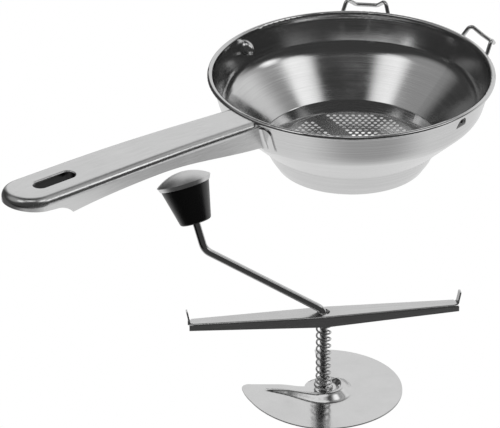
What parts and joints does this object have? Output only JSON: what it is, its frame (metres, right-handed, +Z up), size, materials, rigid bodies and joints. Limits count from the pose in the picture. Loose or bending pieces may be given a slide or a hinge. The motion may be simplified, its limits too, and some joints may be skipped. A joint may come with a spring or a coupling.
{
  "type": "hand-cranked food mill",
  "caption": "Round strainer bowl with a long channel handle, wire pot rests and a perforated disc, with its loose crank unit: crossbar, bent rod, spring, blade and knob.",
  "frame": {"origin": "centre of the bowl's round foot, in the plane it stands on", "axes": "+Z up, the handle points along -X; the crank unit stands loose beside the bowl, towards -X and -Y"},
  "size_m": [0.4137, 0.3815, 0.1512],
  "materials": {
    "bowl_steel": "polished stainless steel with fine turning lines",
    "handle_steel": "satin stainless steel, brushed along its length",
    "bar_steel": "satin stainless steel",
    "blade_steel": "bright rolled stainless steel",
    "wire_steel": "bright drawn steel wire",
    "cap_steel": "satin stainless steel",
    "black_plastic": "smooth black plastic with a soft shine"
  },
  "bodies": {
    "bowl": {"bowl_shell": "bowl_steel", "handle_shell": "handle_steel", "handle_weld_spots": "bowl_steel", "pot_rest_left": "wire_steel", "pot_rest_right": "wire_steel", "rest_weld_spots": "bowl_steel"},
    "disc": {"sieve_disc": "bowl_steel"},
    "bar": {"crossbar": "bar_steel"},
    "spring": {"pressure_spring": "wire_steel"},
    "crank": {"crank_rod": "wire_steel", "blade": "blade_steel", "knob_washer": "wire_steel"},
    "knob": {"knob_body": "black_plastic", "knob_cap": "cap_steel"}
  },
  "joints": [
    {"name": "disc_lift", "type": "slide", "parent": "bowl", "child": "disc", "axis": [0, 0, 1], "range_m": [0, 0.1]},
    {"name": "crank_unit_lift", "type": "slide", "parent": "bowl", "child": "bar", "axis": [0, 0, 1], "range_m": [0, 0.25]},
    {"name": "crank_spin", "type": "hinge", "parent": "bar", "child": "spring", "pos_m": [-0.2246, -0.2307, 0], "axis": [0, 0, 1], "continuous": true},
    {"name": "crank_press", "type": "slide", "parent": "spring", "child": "crank", "axis": [0, 0, 1], "range_m": [0, 0.03], "stiffness_N_per_m": 800, "springref_m": -0.01, "deforming": ["pressure_spring"]},
    {"name": "knob_spin", "type": "hinge", "parent": "crank", "child": "knob", "pos_m": [-0.28224, -0.18147, 0.1016], "axis": [-0.0086, 0.4339, 0.9009], "continuous": true}
  ]
}
